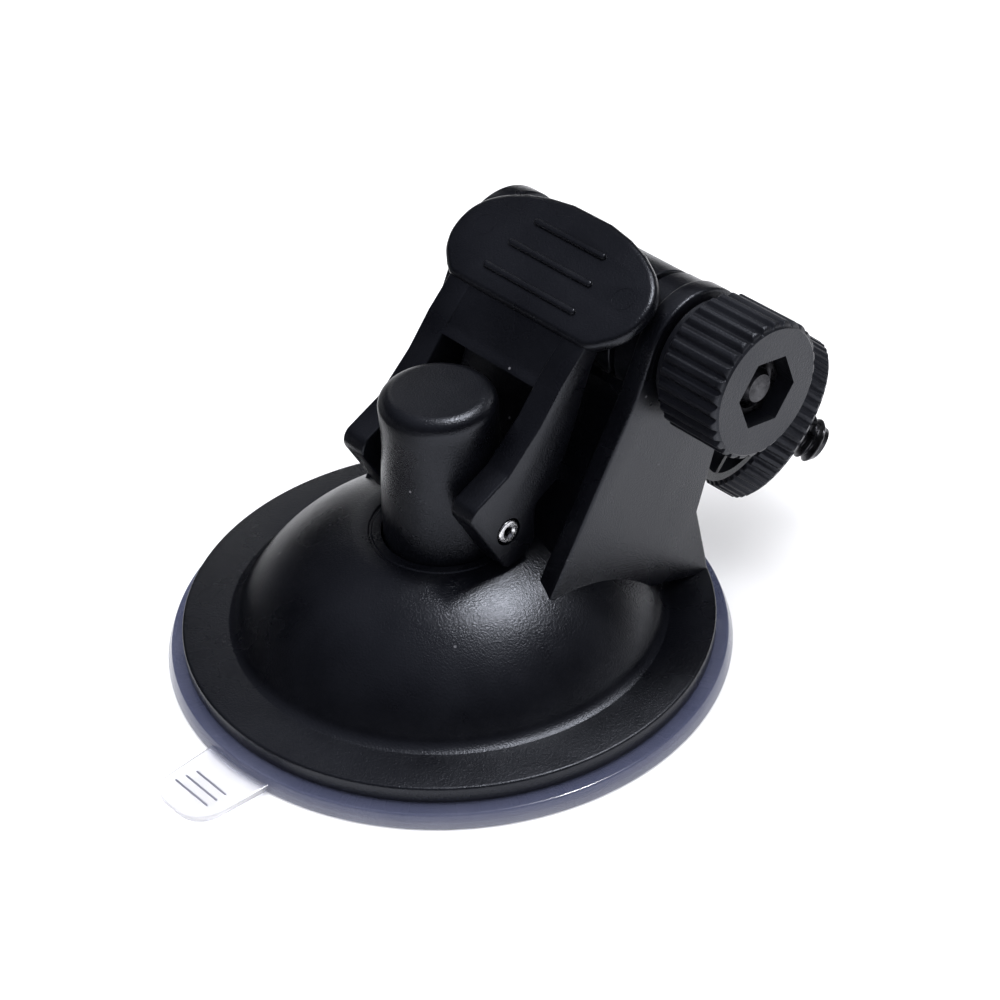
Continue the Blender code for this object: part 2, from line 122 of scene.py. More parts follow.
SOCKET_OUTER = 8.4
SOCKET_INNER = 6.25
SOCKET_LIP = 18.0  # how far past its middle the socket wraps the ball, in degrees
NECK_RADIUS = 5.2
SCREW_RADIUS = 3.1
SCREW_END = 27.6
SCREW_PITCH = 25.4 / 20.0
BOLT_PITCH = 0.8
CAMERA_AZIMUTH = 49.0
CAMERA_ELEVATION = 36.93
CAMERA_ROLL = -2.22
CAMERA_RIGHT = 6.68  # from the middle of the flange's top, as are the next two
CAMERA_UP = 13.82
CAMERA_BACK = 341.27
CAMERA_LENS = 93.6


# ---------------------------------------------------------------- materials

def node_maker(mat):
    nodes = mat.node_tree.nodes
    links = mat.node_tree.links

    def make(kind, inputs=None, **settings):
        node = nodes.new(kind)
        for key, value in settings.items():
            setattr(node, key, value)
        for key, value in (inputs or {}).items():
            if isinstance(value, bpy.types.NodeSocket):
                links.new(value, node.inputs[key])
            else:
                node.inputs[key].default_value = value
        return node
    return make


def ramp(make, factor, dark, light, low=0.35, high=0.65):
    """A colour ramp between two values or colours."""
    node = make("ShaderNodeValToRGB", {"Fac": factor})
    stops = node.color_ramp.elements
    for stop, place, tone in ((stops[0], low, dark), (stops[1], high, light)):
        stop.position = place
        stop.color = (*tone, 1.0) if isinstance(tone, tuple) else (tone, tone, tone, 1.0)
    return node.outputs["Color"]


def moulded(name, dark, light, rough, grain_mm, grain_height, specks=0.0):
    """Moulded plastic: a spark-eroded grain, cloudy gloss, and a few dust specks."""
    mat = bpy.data.materials.new(name)
    mat.use_nodes = True
    make = node_maker(mat)
    shader = mat.node_tree.nodes["Principled BSDF"]
    links = mat.node_tree.links
    place = make("ShaderNodeTexCoord").outputs["Object"]
    grain = make("ShaderNodeTexNoise", {"Vector": place, "Scale": 1.0 / (grain_mm * MM),
                                        "Detail": 3.0, "Roughness": 0.6})
    cloud = make("ShaderNodeTexNoise", {"Vector": place, "Scale": 90.0, "Detail": 4.0})
    colour = ramp(make, cloud.outputs["Fac"], dark, light)
    if specks:
        dust = make("ShaderNodeTexVoronoi", {"Vector": place, "Scale": 260.0})
        mask = ramp(make, dust.outputs["Distance"], 1.0, 0.0, 0.035, 0.06)
        keep = make("ShaderNodeTexNoise", {"Vector": place, "Scale": 120.0})
        picked = ramp(make, keep.outputs["Fac"], 0.0, specks, 0.60, 0.64)
        amount = make("ShaderNodeMath", {0: mask, 1: picked}, operation="MULTIPLY")
        mix = make("ShaderNodeMix", {"Factor": amount.outputs[0]}, data_type="RGBA")
        links.new(colour, mix.inputs["A"])
        mix.inputs["B"].default_value = (0.22, 0.22, 0.24, 1.0)
        colour = mix.outputs["Result"]
    links.new(colour, shader.inputs["Base Color"])
    links.new(ramp(make, cloud.outputs["Fac"], rough - 0.05, rough + 0.06), shader.inputs["Roughness"])
    bump = make("ShaderNodeBump", {"Height": grain.outputs["Fac"], "Distance": grain_height * MM,
                                   "Strength": 1.0})
    links.new(bump.outputs["Normal"], shader.inputs["Normal"])
    shader.inputs["Specular Tint"].default_value = (0.84, 0.88, 1.0, 1.0)
    shader.inputs["Specular IOR Level"].default_value = 0.4
    return mat


def metal(name, dark, light, rough, brushed_scale):
    """Plated or blackened steel with drawn marks and a patchy surface."""
    mat = bpy.data.materials.new(name)
    mat.use_nodes = True
    make = node_maker(mat)
    shader = mat.node_tree.nodes["Principled BSDF"]
    links = mat.node_tree.links
    shader.inputs["Metallic"].default_value = 1.0
    place = make("ShaderNodeTexCoord").outputs["Object"]
    stretch = make("ShaderNodeMapping", {"Vector": place, "Scale": brushed_scale})
    marks = make("ShaderNodeTexNoise", {"Vector": stretch.outputs["Vector"], "Scale": 1.0,
                                        "Detail": 5.0})
    patch = make("ShaderNodeTexNoise", {"Vector": place, "Scale": 500.0, "Detail": 3.0})
    links.new(ramp(make, patch.outputs["Fac"], dark, light), shader.inputs["Base Color"])
    links.new(ramp(make, marks.outputs["Fac"], rough - 0.08, rough + 0.12), shader.inputs["Roughness"])
    bump = make("ShaderNodeBump", {"Height": marks.outputs["Fac"], "Distance": 0.012 * MM,
                                   "Strength": 1.0})
    links.new(bump.outputs["Normal"], shader.inputs["Normal"])
    return mat


def clear_vinyl():
    """Soft PVC with a faint flow pattern: slate in the thick rim, nearly clear in the thin tongue."""
    mat = bpy.data.materials.new("clear_pvc")
    mat.use_nodes = True
    make = node_maker(mat)
    shader = mat.node_tree.nodes["Principled BSDF"]
    links = mat.node_tree.links
    shader.inputs["Transmission Weight"].default_value = 0.7
    shader.inputs["IOR"].default_value = 1.5
    place = make("ShaderNodeTexCoord").outputs["Object"]
    flow = make("ShaderNodeTexNoise", {"Vector": place, "Scale": 60.0, "Detail": 4.0})
    flat = make("ShaderNodeVectorMath", {0: place, 1: (1.0, 1.0, 0.0)}, operation="MULTIPLY")
    reach = make("ShaderNodeVectorMath", {0: flat.outputs["Vector"]}, operation="LENGTH")
    share = make("ShaderNodeMapRange", {"Value": reach.outputs["Value"],
                                        "From Min": (CUP_RADIUS - 0.4) * MM,
                                        "From Max": (CUP_RADIUS + 1.0) * MM})
    deep = ramp(make, flow.outputs["Fac"], (0.17, 0.19, 0.33), (0.23, 0.25, 0.40))
    mix = make("ShaderNodeMix", {"Factor": share.outputs["Result"]}, data_type="RGBA")
    links.new(deep, mix.inputs["A"])
    links.new(ramp(make, flow.outputs["Fac"], (0.93, 0.93, 0.96), (0.97, 0.97, 0.99)), mix.inputs["B"])
    links.new(mix.outputs["Result"], shader.inputs["Base Color"])
    links.new(ramp(make, flow.outputs["Fac"], 0.08, 0.2), shader.inputs["Roughness"])
    bump = make("ShaderNodeBump", {"Height": flow.outputs["Fac"], "Distance": 0.05 * MM,
                                   "Strength": 0.5})
    links.new(bump.outputs["Normal"], shader.inputs["Normal"])
    return mat


BLACK = moulded("black_abs", (0.0010, 0.0011, 0.0018), (0.0020, 0.0022, 0.0034), 0.29, 0.26, 0.052, 0.5)
GRAINED = moulded("grained_abs", (0.0012, 0.0013, 0.0022), (0.0034, 0.0037, 0.0055), 0.43, 0.26, 0.06)
NYLON = moulded("black_nylon", (0.0045, 0.0048, 0.0060), (0.0075, 0.0080, 0.0095), 0.30, 0.5, 0.006)
STEEL = metal("zinc_steel", (0.62, 0.62, 0.64), (0.78, 0.78, 0.80), 0.22, (300.0, 4000.0, 4000.0))
DARK_STEEL = metal("black_steel", (0.020, 0.020, 0.023), (0.06, 0.06, 0.065), 0.34,
                   (800.0, 2500.0, 2500.0))
CLEAR = clear_vinyl()
# Painted rib shade: a dark grey that stands in for the shade the tongue's moulded ribs cast and hold.
RIB_SHADE = moulded("painted_rib_shade", (0.10, 0.10, 0.13), (0.16, 0.16, 0.20), 0.4, 0.3, 0.01)


# ---------------------------------------------------------------- shapes

def along(direction, origin, up=None):
    """Local Z along a direction at an origin; for X the local X is +Y and the local Y is +Z."""
    z_axis = Vector(direction).normalized()
    if up is None:
        up = (0.0, 0.0, 1.0) if abs(z_axis.z) < 0.9 else (0.0, 1.0, 0.0)
        x_axis = Vector(up).cross(z_axis).normalized()
    else:
        x_axis = Vector(up).normalized()
    y_axis = z_axis.cross(x_axis)
    turn = Matrix((x_axis, y_axis, z_axis)).transposed().to_4x4()
    return Matrix.Translation(Vector(origin)) @ turn


def arc(centre, radius, start, end, steps):
    points = []
    for step in range(steps + 1):
        angle = math.radians(start + (end - start) * step / steps)
        points.append((centre[0] + radius * math.cos(angle), centre[1] + radius * math.sin(angle)))
    return points


def filleted(points, radius, steps=4, closed=False):
    """The outline with each corner rounded, by less where its sides are short."""
    count = len(points)
    result = []
    for index, corner in enumerate(points):
        if not closed and index in (0, count - 1):
            result.append(corner)
            continue
        here = Vector(corner)
        before = Vector(points[index - 1]) - here
        after = Vector(points[(index + 1) % count]) - here
        bend = math.pi - before.angle(after, math.pi)
        if bend < math.radians(12.0):
            result.append(corner)
            continue
        reach = min(radius * math.tan(bend / 2.0), 0.45 * before.length, 0.45 * after.length)
        start = here + before.normalized() * reach
        end = here + after.normalized() * reach
        for step in range(steps + 1):
            t = step / steps
            spot = start.lerp(here, t).lerp(here.lerp(end, t), t)
            result.append(tuple(spot))
    return result


def finish_mesh(name, bm, mat):
    """Writes a millimetre bmesh out as an object in metres, facing outwards, smooth but for its edges."""
    bmesh.ops.remove_doubles(bm, verts=bm.verts, dist=0.002)
    bmesh.ops.recalc_face_normals(bm, faces=bm.faces)
    bmesh.ops.scale(bm, vec=(MM, MM, MM), verts=bm.verts)
    mesh = bpy.data.meshes.new(name)
    bm.to_mesh(mesh)
    bm.free()
    item = bpy.data.objects.new(name, mesh)
    bpy.context.collection.objects.link(item)
    if mat:
        mesh.materials.append(mat)
    smooth(item)
    return item


def smooth(item, limit=32.0):
    item.data.shade_smooth()
    bm = bmesh.new()
    bm.from_mesh(item.data)
    for edge in bm.edges:
        faces_meet = len(edge.link_faces) == 2
        edge.smooth = faces_meet and edge.calc_face_angle(0.0) < math.radians(limit)
    bm.to_mesh(item.data)
    bm.free()


def turned(name, profile, mat, place=None, segments=160, shape=None, closed=False):
    """A profile of (radius, height) turned about local Z. shape(r, z, angle) may move the radius."""
    bm = bmesh.new()
    rings = []
    for radius, height in profile:
        if radius < 1e-6:
            rings.append([bm.verts.new((0.0, 0.0, height))])
            continue
        ring = []
        for step in range(segments):
            angle = FULL_TURN * step / segments
            reach = shape(radius, height, angle) if shape else radius
            ring.append(bm.verts.new((reach * math.cos(angle), reach * math.sin(angle), height)))
        rings.append(ring)
    pairs = list(zip(rings, rings[1:]))
    if closed:
        pairs.append((rings[-1], rings[0]))
    for low, high in pairs:
        if len(low) == 1 and len(high) == 1:
            continue
        for step in range(segments):
            follow = (step + 1) % segments
            if len(low) == 1:
                bm.faces.new((low[0], high[step], high[follow]))
            elif len(high) == 1:
                bm.faces.new((low[step], high[0], low[follow]))
            else:
                bm.faces.new((low[step], high[step], high[follow], low[follow]))
    if place:
        bm.transform(place)
    return finish_mesh(name, bm, mat)


def prism(name, outline, low, high, mat=None, plane="yz", place=None, edge=0.0):
    """An outline pushed from low to high, with its two rims rounded."""
    bm = bmesh.new()
    ends = []
    for depth in (low, high):
        if plane == "yz":
            ends.append([bm.verts.new((depth, a, b)) for a, b in outline])
        else:
            ends.append([bm.verts.new((a, b, depth)) for a, b in outline])
    caps = [bm.faces.new(ends[0]), bm.faces.new(ends[1])]
    count = len(outline)
    for index in range(count):
        follow = (index + 1) % count
        bm.faces.new((ends[0][index], ends[0][follow], ends[1][follow], ends[1][index]))
    bmesh.ops.recalc_face_normals(bm, faces=bm.faces)
    if edge:
        rims = [rim for cap in caps for rim in cap.edges]
        bmesh.ops.bevel(bm, geom=rims, offset=edge, segments=4, profile=0.5,
                        affect="EDGES", clamp_overlap=True)
    if place:
        bm.transform(place)
    return finish_mesh(name, bm, mat)


def combine(target, tool, operation):
    """Applies an exact Boolean and removes the tool."""
    step = target.modifiers.new("combine", "BOOLEAN")
    step.operation = operation
    step.solver = "EXACT"
    step.object = tool
    evaluated = target.evaluated_get(bpy.context.evaluated_depsgraph_get())
    result = bpy.data.meshes.new_from_object(evaluated)
    target.modifiers.remove(step)
    old = target.data
    target.data = result
    bpy.data.meshes.remove(old)
    bpy.data.objects.remove(tool)
    smooth(target)
    return target


def join(target, *tools):
    for tool in tools:
        combine(target, tool, "UNION")
    return target


def cut(target, *tools):
    for tool in tools:
        combine(target, tool, "DIFFERENCE")
    return target


def rod(radius, low, high):
    return [(0.0, low), (radius, low), (radius, high), (0.0, high)]


def x_place(y, z):
    return along((1.0, 0.0, 0.0), (0.0, y, z))


def x_rod(name, radius, low, high, y, z, segments=96):
    return turned(name, rod(radius, low, high), None, x_place(y, z), segments)


def hexagon(across, corner=0.25):
    points = arc((0.0, 0.0), across / math.sqrt(3.0), HEX_TURN, HEX_TURN + 300.0, 5)
    return filleted(points, corner, 3, closed=True)


def paint(item, mat):
    """Leaves one material on an object."""
    item.data.materials.clear()
    item.data.materials.append(mat)


def settle(piece, body, node):
    """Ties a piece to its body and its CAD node."""
    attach(piece, body)
    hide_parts(node)
    return piece


def threaded(radius, pitch, depth, start):
    """A radius rule that winds a thread round a rod above a starting height."""
    def shape(base, height, angle):
        if base < radius - 0.05 or height < start:
            return base
        phase = (height / pitch - angle / FULL_TURN) % 1.0
        tooth = abs(2.0 * phase - 1.0)
        return base - depth * min(max((tooth - 0.12) / 0.76, 0.0), 1.0)
    return shape


def fluted(outer, count, depth, land):
    """A radius rule for rounded ridges along a rim; land is the ridge's share of the pitch."""
    def shape(radius, _height, angle):
        phase = abs(2.0 * ((angle * count / FULL_TURN) % 1.0) - 1.0)
        fall = min(max((phase - land) / (1.0 - land), 0.0), 1.0)
        return min(radius, outer - depth * fall * fall * (3.0 - 2.0 * fall))
    return shape


# ---------------------------------------------------------------- pieces

def cup():
    """The clear cup: a plain side wall and a release tongue, its ribs drawn as thin dark bars of painted
    shade.
    """
    rim = [(0.0, CUP_LOW.z), (CUP_RADIUS - 0.9, CUP_LOW.z)]
    rim += arc((CUP_RADIUS - 0.35, 0.35), 0.35, -90.0, 12.0, 6)
    rim += arc((CUP_RADIUS - 0.85, 1.75), 0.35, 12.0, 90.0, 6)
    rim += [(29.0, CUP_TOP), (28.6, 1.6), (0.0, 1.6)]
    item = turned("clear_cup", rim, None, segments=224)
    half = 5.5
    middle = 1.8
    end = CUP_LOW.y
    corner = 3.6
    outline = [(middle - half, -35.5)]
    outline += arc((middle - half + 0.5 + corner, end + corner), corner, 180.0, 270.0, 12)
    outline += arc((middle + half - 0.5 - corner, end + corner), corner, 270.0, 360.0, 12)
    outline += [(middle + half, -35.5)]
    join(item, prism("tongue", outline, 0.35, 1.2, plane="xy", edge=0.25))
    paint(item, CLEAR)
    # The tongue's rib lines: thin dark bars whose colour is painted shade, standing in for the shade of
    # the moulded ribs.
    for row in range(3):
        y = end + 3.1 + 1.4 * row
        line = arc((middle - 3.3 + 0.3 * row, y), 0.13, 90.0, 270.0, 4)
        line += arc((middle + 3.0, y), 0.13, -90.0, 90.0, 4)
        mark = prism(f"tongue_line_{row + 1}", line, 1.21, 1.3, RIB_SHADE, plane="xy", edge=0.03)
        settle(mark, "base", "suction_cup")
    return settle(item, "base", "suction_cup")


def upright_side():
    """A side plate's outline, from its front foot up round the barrel and down the back."""
    top = FLANGE_TOP
    outline = [(2.6, top + 8.0), (1.5, top + 10.6), (16.4, top + 33.5)]
    outline += arc((BARREL_Y, BARREL_Z), EAR_RADIUS, 161.0, -18.0, 40)
    outline += [(30.9, top + 18.7), (27.8, top + 10.4), (29.6, top + 2.0), (30.1, top - 1.0)]
    return outline


def dome_arc(radius, foot, crest, steps):
    """The dome's curve between two distances from the cup's axis."""
    first, last = (math.degrees(math.acos((reach - DOME_OFFSET) / radius)) for reach in (foot, crest))
    return arc((DOME_OFFSET, FLANGE_TOP - DOME_DROP), radius, first, last, steps)


def housing():
    """Flange, dome, two side plates and the front web, hollowed and bored."""
    top = FLANGE_TOP
    outer = [(0.0, FLANGE_BOTTOM), (FLANGE_RADIUS, FLANGE_BOTTOM), (FLANGE_RADIUS, top),
             (28.9, top), (28.1, top + 0.25)]
    outer = filleted(outer, 0.4)
    outer += dome_arc(DOME_RADIUS, 27.45, 12.3, 40)
    outer += [(11.6, SEAT_TOP), (9.9, SEAT_TOP), (9.75, SEAT_TOP - 0.15), (9.5, SEAT_TOP - 0.15),
              (9.35, SEAT_TOP), (0.0, SEAT_TOP)]
    item = turned("housing", outer, None, segments=224)
    for side in (-1.0, 1.0):
        sides = sorted((side * PLATE_IN, side * PLATE_OUT))
        plate = prism("plate", upright_side(), *sides, edge=0.45)
        ear = sorted((side * EAR_IN, side * (PLATE_IN + 0.5)))
        join(plate, x_rod("ear", EAR_RADIUS - 0.4, *ear, BARREL_Y, BARREL_Z))
        cut(plate, x_rod("bolt_hole", BOLT_HOLE, ear[0] - 8.0, ear[1] + 8.0, BARREL_Y, BARREL_Z, 48))
        if side < 0:
            cut(plate, prism("head_pocket", hexagon(POCKET_ACROSS), -PLATE_OUT - 1.0, -14.4, None,
                             "xy", x_place(BARREL_Y, BARREL_Z)))
        join(item, plate)
    lip = arc((BARREL_Y, BARREL_Z), WEB_REACH, 196.0, 222.0, 8)
    web = [(4.6, top + 9.0), (17.7, top + 29.6), (17.9, top + 32.4), *lip, (8.0, top + 9.6)]
    join(item, prism("web", web, -PLATE_IN - 0.4, PLATE_IN + 0.4))
    hollow = [(0.0, FLANGE_BOTTOM - 1.0), (26.2, FLANGE_BOTTOM - 1.0), (26.2, FLANGE_BOTTOM)]
    hollow += dome_arc(DOME_RADIUS - DOME_WALL, 26.1, 10.4, 20)
    hollow += [(10.0, top + 10.3), (10.0, top + 4.0), (0.0, top + 4.0)]
    cut(item, turned("hollow", hollow, None, segments=96))
    cut(item, turned("bore", rod(BORE_RADIUS, top + 3.0, SEAT_TOP + 6.0), None, segments=96))
    paint(item, BLACK)
    return settle(item, "base", "base_housing")


def post():
    """The round plunger, slightly waisted under its rounded top."""
    top = PLUNGER_HIGH.z
    profile = [(0.0, PLUNGER_LOW.z), (7.9, PLUNGER_LOW.z), (7.9, SEAT_TOP + 4.0), (7.82, top - 14.5),
               (7.64, top - 11.5), (7.46, top - 9.0), (7.38, top - 7.0), (7.4, top - 5.0),
               (7.48, top - 3.4)]
    profile += arc((5.55, top - 2.0), 2.0, 0.0, 90.0, 12)
    profile += [(0.0, top)]
    item = turned("post", profile, None, segments=160)
    cut(item, x_rod("pin_hole", PIN_HOLE, -9.0, 9.0, 0.0, PIN_Z, 48))
    cut(item, turned("thread_hole", rod(2.3, PLUNGER_LOW.z - 1.0, 15.0), None, segments=48))
    paint(item, BLACK)
    return settle(item, "plunger", "plunger")


def paddle_point(run, depth):
    """A point in the side view, a run up the paddle from its foot and a depth under its face."""
    y = PADDLE_FOOT[0] + run * math.cos(PADDLE_ANGLE) + depth * math.sin(PADDLE_ANGLE)
    z = PADDLE_FOOT[1] + run * math.sin(PADDLE_ANGLE) - depth * math.cos(PADDLE_ANGLE)
    return (y, z)


def arm_side():
    """A lever arm: cam round the pin, nose, and the bar up to the paddle."""
    points = arc((0.0, PIN_Z), 5.5, 322.0, 282.0, 16) + [(-0.7, PIN_Z - 5.6)]
    points += arc((-3.9, PIN_Z + 4.3), 1.95, 210.0, 112.0, 12)
    rest = [(0.3, PIN_Z + 8.3),
            (5.7, PIN_Z + 13.0), (9.4, PIN_Z + 17.3), paddle_point(-2.4, 0.5),
            paddle_point(3.0, 0.6), paddle_point(3.0, PADDLE_THICK - 0.1),
            (16.2, PIN_Z + 20.3), (14.3, PIN_Z + 17.0), (11.6, PIN_Z + 10.5),
            (9.6, PIN_Z + 5.9), (8.2, PIN_Z + 3.6), (4.6, PIN_Z + 1.8)]
    return filleted(points + rest, 2.0, 6, closed=True)


def paddle_side():
    """A wide oval, drawn in to the arms at its foot."""
    stations = [(-3.3, 12.2), (-2.4, 13.6), (-0.6, 15.6), (1.5, 16.7), (3.6, 17.0), (5.8, 16.7),
                (7.8, 15.6), (9.6, 13.6), (11.1, 10.6), (12.1, 7.2), (12.7, 3.4)]
    right = [(half, run) for run, half in stations]
    left = [(-half, run) for run, half in reversed(stations)]
    return filleted(right + left, 12.0, 5, closed=True)


def lever():
    """Paddle, two arms with their lugs, the web between them, grip ribs and mould marks."""
    place = Matrix.Translation((0.0, *PADDLE_FOOT)) @ Matrix.Rotation(PADDLE_ANGLE, 4, "X")
    item = prism("cam_lever", paddle_side(), -PADDLE_THICK, 0.0, None, "xy", place, edge=0.85)
    for side in (-1.0, 1.0):
        arm = prism("arm", arm_side(), *sorted((side * ARM_IN, side * ARM_OUT)), edge=1.0)
        lug = [(7.0, PIN_Z + 4.4), (9.9, PIN_Z + 2.4), (11.1, PIN_Z + 4.1), (8.6, PIN_Z + 6.6)]
        inner = sorted((side * (ARM_OUT - 0.4), side * (ARM_IN + 0.6)))
        join(item, arm, prism("lug", lug, *inner, edge=0.12))
    web = [paddle_point(-2.0, 0.4), (9.3, PIN_Z + 16.8), (8.2, PIN_Z + 15.9), (9.9, PIN_Z + 14.6),
           (12.0, PIN_Z + 16.4), paddle_point(1.0, 1.6), paddle_point(1.0, 0.6)]
    join(item, prism("lever_web", web, -ARM_IN - 0.5, ARM_IN + 0.5))
    for run, half in ((0.0, 8.3), (4.15, 7.5), (8.15, 6.4)):
        thick = 0.5
        bar = arc((-half + thick, run), thick, 90.0, 270.0, 8)
        bar += arc((half - thick, run), thick, -90.0, 90.0, 8)
        join(item, prism("rib", bar, -0.5, 0.45, None, "xy", place, edge=0.34))
    for side in (-1.0, 1.0):
        ring = [(1.5, -0.1), (1.5, 0.03), (1.62, 0.03), (1.62, -0.1)]
        spot = place @ Matrix.Translation((side * 12.6, 4.6, 0.0))
        join(item, turned("mould_mark", ring, None, spot, 48, closed=True))
    cut(item, x_rod("ear_hole", PIN_HOLE, -14.0, 14.0, 0.0, PIN_Z, 48))
    paint(item, BLACK)
    return settle(item, "lever", "lever")


def pin():
    """The hollow pin, with rolled ends."""
    end = PIN_HIGH.x
    profile = [(0.7, -end), (PIN_RADIUS - 0.25, -end)]
    profile += arc((PIN_RADIUS - 0.25, -end + 0.25), 0.25, -90.0, 0.0, 5)
    profile += arc((PIN_RADIUS - 0.25, end - 0.25), 0.25, 0.0, 90.0, 5)
    profile += [(0.95, end), (0.7, end - 0.25)]
    item = turned("roll_pin", profile, STEEL, x_place(0.0, PIN_Z), 64, closed=True)
    return settle(item, "plunger", "lever_pin")


def bolt():
    """A hexagon head and a shank that is threaded towards the knob."""
    place = x_place(BARREL_Y, BARREL_Z)
    item = prism("bolt", hexagon(HEX_ACROSS), -18.0, -14.7, None, "xy", place, edge=0.3)
    low = -15.5
    high = BOLT_HIGH.x
    step = BOLT_PITCH / 8.0
    count = int((high - 0.6 - THREAD_START) / step)
    shank = [(0.0, low), (BOLT_RADIUS, low), (BOLT_RADIUS, THREAD_START)]
    shank += [(BOLT_RADIUS, THREAD_START + step * index) for index in range(1, count)]
    shank += [(2.4, high - 0.7), (1.85, high), (0.0, high)]
    rule = threaded(BOLT_RADIUS, BOLT_PITCH, 0.42, THREAD_START)
    join(item, turned("shank", shank, None, place, 72, rule))
    paint(item, DARK_STEEL)
    return settle(item, "base", "hinge_bolt")


def nut():
    """The hexagon nut in the knob's face, countersunk outside."""
    place = x_place(BARREL_Y, BARREL_Z)
    item = prism("nut", hexagon(HEX_ACROSS), NUT_LOW.x, NUT_HIGH.x, None, "xy", place, edge=0.25)
    cut(item, turned("nut_hole", rod(BOLT_HOLE, NUT_LOW.x - 1.0, NUT_HIGH.x + 1.0), None, place, 72))
    sink = [(0.0, NUT_HIGH.x - 0.6), (2.6, NUT_HIGH.x - 0.6), (3.2, NUT_HIGH.x + 0.05),
            (3.2, NUT_HIGH.x + 1.0), (0.0, NUT_HIGH.x + 1.0)]
    cut(item, turned("nut_sink", sink, None, place, 72))
    paint(item, DARK_STEEL)
    return settle(item, "knob", "hinge_nut")


def knob():
    """The fluted clamp knob, with a collar behind and the nut's pocket in its face."""
    place = x_place(BARREL_Y, BARREL_Z)
    back = KNOB_LOW.x
    face = KNOB_HIGH.x
    step = back + 1.4
    core = KNOB_RADIUS - 0.6
    profile = [(BOLT_HOLE, back), (7.6, back), (7.6, step), (core, step),
               (KNOB_RADIUS, step + 0.5)]
    profile += arc((core, face - 0.85), KNOB_RADIUS - core, 0.0, 80.0, 6)
    profile += [(core, face - 0.22), (core - 0.2, face), (BOLT_HOLE, face)]
    rule = fluted(KNOB_RADIUS, KNOB_FLUTES, KNOB_RADIUS - core, 0.22)
    item = turned("knob", profile, None, place, 480, rule, closed=True)
    pocket = hexagon(POCKET_ACROSS, 0.2)
    cut(item, prism("pocket", pocket, NUT_LOW.x - 0.3, face + 1.0, None, "xy", place))
    paint(item, GRAINED)
    return settle(item, "knob", "clamp_knob")


def sphere(radius, low, high):
    """A stretch of a ball's profile between two latitudes."""
    return arc((0.0, 0.0), radius, low, high, 30)


def head():
    """The knuckle between the ears, its neck, and the socket for the ball."""
    item = turned("head", filleted(rod(KNUCKLE_RADIUS, HEAD_LOW.x, HEAD_HIGH.x), 0.3), None,
                  x_place(BARREL_Y, BARREL_Z), 144)
    cut(item, x_rod("knuckle_hole", BOLT_HOLE, HEAD_LOW.x - 1.0, HEAD_HIGH.x + 1.0,
                    BARREL_Y, BARREL_Z, 48))
    hinge = Vector((0.0, BARREL_Y, BARREL_Z))
    arm_axis = BALL - hinge
    neck = rod(NECK_RADIUS, 4.0, arm_axis.length - 6.5)
    join(item, turned("neck", neck, None, along(arm_axis, hinge), 96))
    bowl = sphere(SOCKET_OUTER, -90.0, SOCKET_LIP) + sphere(SOCKET_INNER, SOCKET_LIP, -90.0)
    direction = Vector((1.0, 0.0, 0.0)).cross(SOCKET_NORMAL)
    if direction.y < 0.0:
        direction.negate()
    join(item, turned("socket", bowl, None, along(direction, BALL, up=(1.0, 0.0, 0.0)), 96))
    paint(item, BLACK)
    return settle(item, "tilt_head", "tilt_head")


def ball():
    """The ball and the neck that carries the screw, open along the screw."""
    neck = 3.4
    neck_angle = math.degrees(math.acos(neck / BALL_RADIUS))
    back_angle = -math.degrees(math.acos(3.9 / BALL_RADIUS))
    profile = [(2.6, -3.0), (3.9, -3.0)] + sphere(BALL_RADIUS, back_angle, neck_angle)
    profile += [(neck, 15.4), (neck - 0.3, 15.7), (2.6, 15.7)]
    item = turned("ball", profile, NYLON, along(SCREW_AXIS, BALL), 96, closed=True)
    return settle(item, "ball_stud", "swivel_ball")


def screw():
    """The camera screw, threaded beyond the wheel."""
    step = SCREW_PITCH / 10.0
    start = WHEEL_FACE + 0.4
    count = int((SCREW_END - 0.6 - start) / step)
    profile = [(0.0, -4.6), (2.2, -4.6), (2.2, WHEEL_BACK - 0.2), (2.9, WHEEL_BACK - 0.2),
               (2.9, WHEEL_FACE + 0.1)]
    profile += [(SCREW_RADIUS, start + step * index) for index in range(count)]
    profile += [(SCREW_RADIUS, SCREW_END - 0.6), (SCREW_RADIUS - 0.7, SCREW_END), (0.0, SCREW_END)]
    rule = threaded(SCREW_RADIUS, SCREW_PITCH, 0.62, start)
    item = turned("tripod_screw", profile, DARK_STEEL, along(SCREW_AXIS, BALL), 96, rule)
    return settle(item, "camera_screw", "camera_screw")


def wheel():
    """The knurled wheel, hollow towards the ball and spoked."""
    hub, wall, floor = 4.6, WHEEL_RADIUS - 1.7, WHEEL_FACE - 1.3
    profile = [(3.2, WHEEL_BACK), (hub, WHEEL_BACK), (hub, floor), (wall, floor), (wall, WHEEL_BACK),
               (WHEEL_RADIUS - 0.5, WHEEL_BACK), (WHEEL_RADIUS, WHEEL_BACK + 0.4),
               (WHEEL_RADIUS, WHEEL_FACE - 0.4), (WHEEL_RADIUS - 0.5, WHEEL_FACE), (3.2, WHEEL_FACE)]
    place = along(SCREW_AXIS, BALL)
    rule = fluted(WHEEL_RADIUS, WHEEL_TEETH, 0.45, 0.3)
    item = turned("wheel", profile, None, place, 576, rule, closed=True)
    for number in range(3):
        bar = [(hub - 0.4, -0.5), (wall + 0.4, -0.5), (wall + 0.4, 0.5), (hub - 0.4, 0.5)]
        spun = place @ Matrix.Rotation(FULL_TURN * number / 3.0, 4, "Z")
        join(item, prism("spoke", bar, WHEEL_BACK + 0.6, floor + 0.4, None, "xy", spun))
    paint(item, GRAINED)
    return settle(item, "camera_screw", "thumb_wheel")


def carry_over():
    """CAD nodes whose shape is right get their finish only."""
    finishes = {"cup_anchor": NYLON, "anchor_screw": STEEL, "return_spring": STEEL, "screw_clip": STEEL,
                "friction_washer_near": NYLON, "friction_washer_far": NYLON}
    for node, mat in finishes.items():
        paint(frame["nodes"][node], mat)


# ---------------------------------------------------------------- stage

